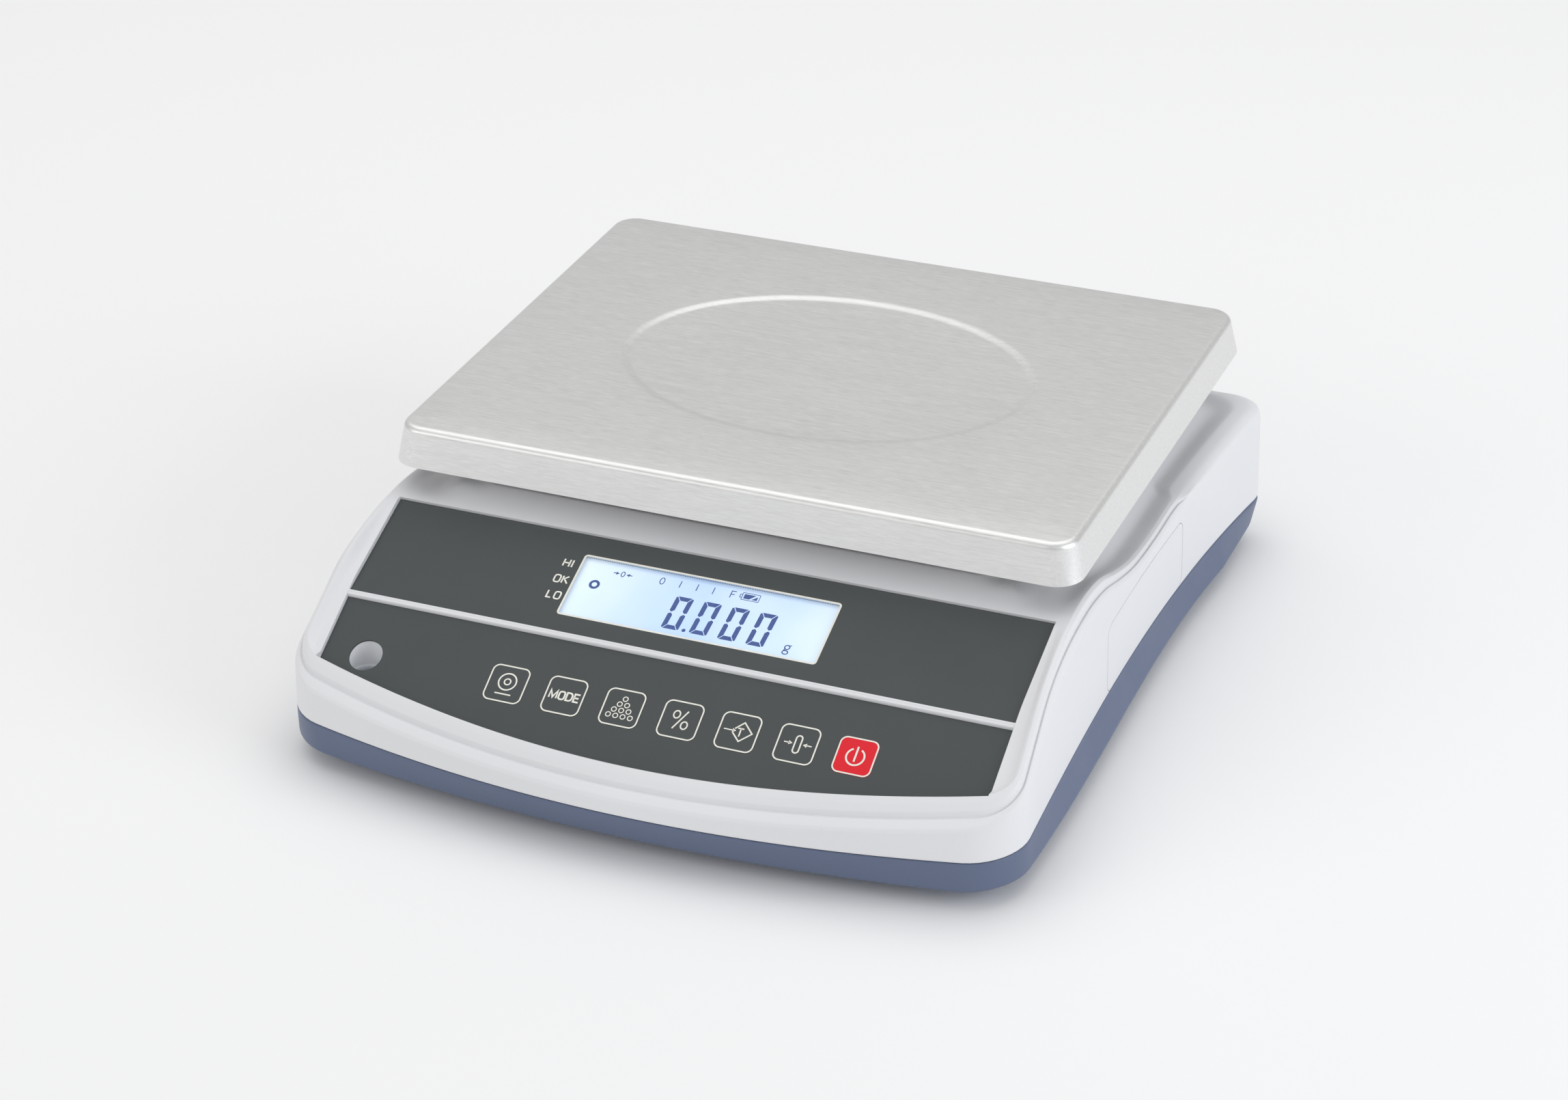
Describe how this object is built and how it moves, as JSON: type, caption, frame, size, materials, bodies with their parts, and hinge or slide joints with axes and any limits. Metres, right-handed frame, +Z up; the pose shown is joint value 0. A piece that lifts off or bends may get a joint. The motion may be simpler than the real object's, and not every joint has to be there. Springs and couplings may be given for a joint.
{
  "type": "counting scale",
  "caption": "Bench counting scale: a lift-off stainless steel pan on a load cell in a waisted plastic housing, with a sloping front panel of keys and a display, and levelling feet.",
  "frame": {"origin": "on the table, under the middle of the housing's bounding box", "axes": "+X to the right seen from the front, +Y from the front panel to the rear, +Z up"},
  "size_m": [0.3304, 0.35, 0.11],
  "materials": {
    "case_white": "fine moulded texture, satin off-white",
    "case_blue": "fine moulded texture, satin blue-grey",
    "overlay_film": "printed polycarbonate film, dark grey, matt",
    "key_film": "printed polycarbonate film, dark grey with pale outlines",
    "power_key_film": "printed polycarbonate film, red with a white outline",
    "clear_window": "clear polished",
    "lcd_glass": "liquid crystal glass lit from behind",
    "backlight": "white light guide",
    "circuit_board": "green solder resist",
    "battery_wrap": "blue shrink wrap",
    "black_plastic": "satin",
    "grey_plastic": "satin",
    "stainless": "brushed along the width",
    "aluminium": "machined or cast, bare",
    "zinc_steel": "zinc plated",
    "rubber": "matt"
  },
  "bodies": {
    "housing": {"bottom_case": "case_blue", "top_case": "case_white", "display_overlay": "overlay_film", "lcd_window": "clear_window", "lcd_glass": "lcd_glass", "backlight_panel": "backlight", "display_frame": "black_plastic", "display_board": "circuit_board", "keypad_overlay": "overlay_film", "key_board": "circuit_board", "level_cup": "grey_plastic", "level_vial": "clear_window", "load_cell": "aluminium", "load_cell_spacer": "zinc_steel", "lower_bolt_1": "zinc_steel", "lower_bolt_2": "zinc_steel", "overload_stop": "zinc_steel", "chassis_plate": "zinc_steel", "main_board": "circuit_board", "battery_pack": "battery_wrap", "power_jack": "black_plastic", "serial_port": "zinc_steel", "case_screw_1": "zinc_steel", "case_screw_2": "zinc_steel", "case_screw_3": "zinc_steel", "case_screw_4": "zinc_steel", "case_screw_5": "zinc_steel", "case_screw_6": "zinc_steel"},
    "cover": {"side_cover": "case_white"},
    "platform": {"pan_support": "aluminium", "load_cell_block": "aluminium", "upper_bolt_1": "zinc_steel", "upper_bolt_2": "zinc_steel", "support_pad_1": "rubber", "support_pad_2": "rubber", "support_pad_3": "rubber", "support_pad_4": "rubber"},
    "pan": {"weighing_pan": "stainless"},
    "hold_button": {"hold_key": "key_film"},
    "mode_button": {"mode_key": "key_film"},
    "count_button": {"count_key": "key_film"},
    "percent_button": {"percent_key": "key_film"},
    "tare_button": {"tare_key": "key_film"},
    "zero_button": {"zero_key": "key_film"},
    "power_button": {"power_key": "power_key_film"},
    "foot_1": {"foot_pad_1": "rubber"},
    "foot_stud_1": {"foot_screw_1": "zinc_steel"},
    "foot_2": {"foot_pad_2": "rubber"},
    "foot_stud_2": {"foot_screw_2": "zinc_steel"},
    "foot_3": {"foot_pad_3": "rubber"},
    "foot_stud_3": {"foot_screw_3": "zinc_steel"},
    "foot_4": {"foot_pad_4": "rubber"},
    "foot_stud_4": {"foot_screw_4": "zinc_steel"}
  },
  "joints": [
    {"name": "platform_deflection", "type": "slide", "parent": "housing", "child": "platform", "axis": [0, 0, -1], "range_m": [0, 0.00025], "stiffness_N_per_m": 100000, "springref_m": -0.0003},
    {"name": "pan_lift", "type": "slide", "parent": "platform", "child": "pan", "axis": [0, 0, 1], "range_m": [0, 0.06]},
    {"name": "side_cover_release", "type": "slide", "parent": "housing", "child": "cover", "axis": [1, 0, 0], "range_m": [0, 0.03]},
    {"name": "hold_press", "type": "slide", "parent": "housing", "child": "hold_button", "axis": [0, 0.4879, -0.8729], "range_m": [0, 0.0005], "stiffness_N_per_m": 2000, "springref_m": -0.0002},
    {"name": "mode_press", "type": "slide", "parent": "housing", "child": "mode_button", "axis": [0, 0.4879, -0.8729], "range_m": [0, 0.0005], "stiffness_N_per_m": 2000, "springref_m": -0.0002},
    {"name": "count_press", "type": "slide", "parent": "housing", "child": "count_button", "axis": [0, 0.4879, -0.8729], "range_m": [0, 0.0005], "stiffness_N_per_m": 2000, "springref_m": -0.0002},
    {"name": "percent_press", "type": "slide", "parent": "housing", "child": "percent_button", "axis": [0, 0.4879, -0.8729], "range_m": [0, 0.0005], "stiffness_N_per_m": 2000, "springref_m": -0.0002},
    {"name": "tare_press", "type": "slide", "parent": "housing", "child": "tare_button", "axis": [0, 0.4879, -0.8729], "range_m": [0, 0.0005], "stiffness_N_per_m": 2000, "springref_m": -0.0002},
    {"name": "zero_press", "type": "slide", "parent": "housing", "child": "zero_button", "axis": [0, 0.4879, -0.8729], "range_m": [0, 0.0005], "stiffness_N_per_m": 2000, "springref_m": -0.0002},
    {"name": "power_press", "type": "slide", "parent": "housing", "child": "power_button", "axis": [0, 0.4879, -0.8729], "range_m": [0, 0.0005], "stiffness_N_per_m": 2000, "springref_m": -0.0002},
    {"name": "foot_height_1", "type": "slide", "parent": "housing", "child": "foot_1", "axis": [0, 0, -1], "range_m": [0, 0.00595]},
    {"name": "foot_turn_1", "type": "hinge", "parent": "foot_1", "child": "foot_stud_1", "pos_m": [-0.124, -0.114, 0.0065], "axis": [0, 0, -1], "range_deg": [0, 1728]},
    {"name": "foot_height_2", "type": "slide", "parent": "housing", "child": "foot_2", "axis": [0, 0, -1], "range_m": [0, 0.00595]},
    {"name": "foot_turn_2", "type": "hinge", "parent": "foot_2", "child": "foot_stud_2", "pos_m": [0.124, -0.114, 0.0065], "axis": [0, 0, -1], "range_deg": [0, 1728]},
    {"name": "foot_height_3", "type": "slide", "parent": "housing", "child": "foot_3", "axis": [0, 0, -1], "range_m": [0, 0.00595]},
    {"name": "foot_turn_3", "type": "hinge", "parent": "foot_3", "child": "foot_stud_3", "pos_m": [0.124, 0.146, 0.0065], "axis": [0, 0, -1], "range_deg": [0, 1728]},
    {"name": "foot_height_4", "type": "slide", "parent": "housing", "child": "foot_4", "axis": [0, 0, -1], "range_m": [0, 0.00595]},
    {"name": "foot_turn_4", "type": "hinge", "parent": "foot_4", "child": "foot_stud_4", "pos_m": [-0.124, 0.146, 0.0065], "axis": [0, 0, -1], "range_deg": [0, 1728]}
  ],
  "couplings": [
    {"joint": "foot_turn_1", "follows": "foot_height_1", "rad_per_m": 5026.5},
    {"joint": "foot_turn_2", "follows": "foot_height_2", "rad_per_m": 5026.5},
    {"joint": "foot_turn_3", "follows": "foot_height_3", "rad_per_m": 5026.5},
    {"joint": "foot_turn_4", "follows": "foot_height_4", "rad_per_m": 5026.5}
  ]
}
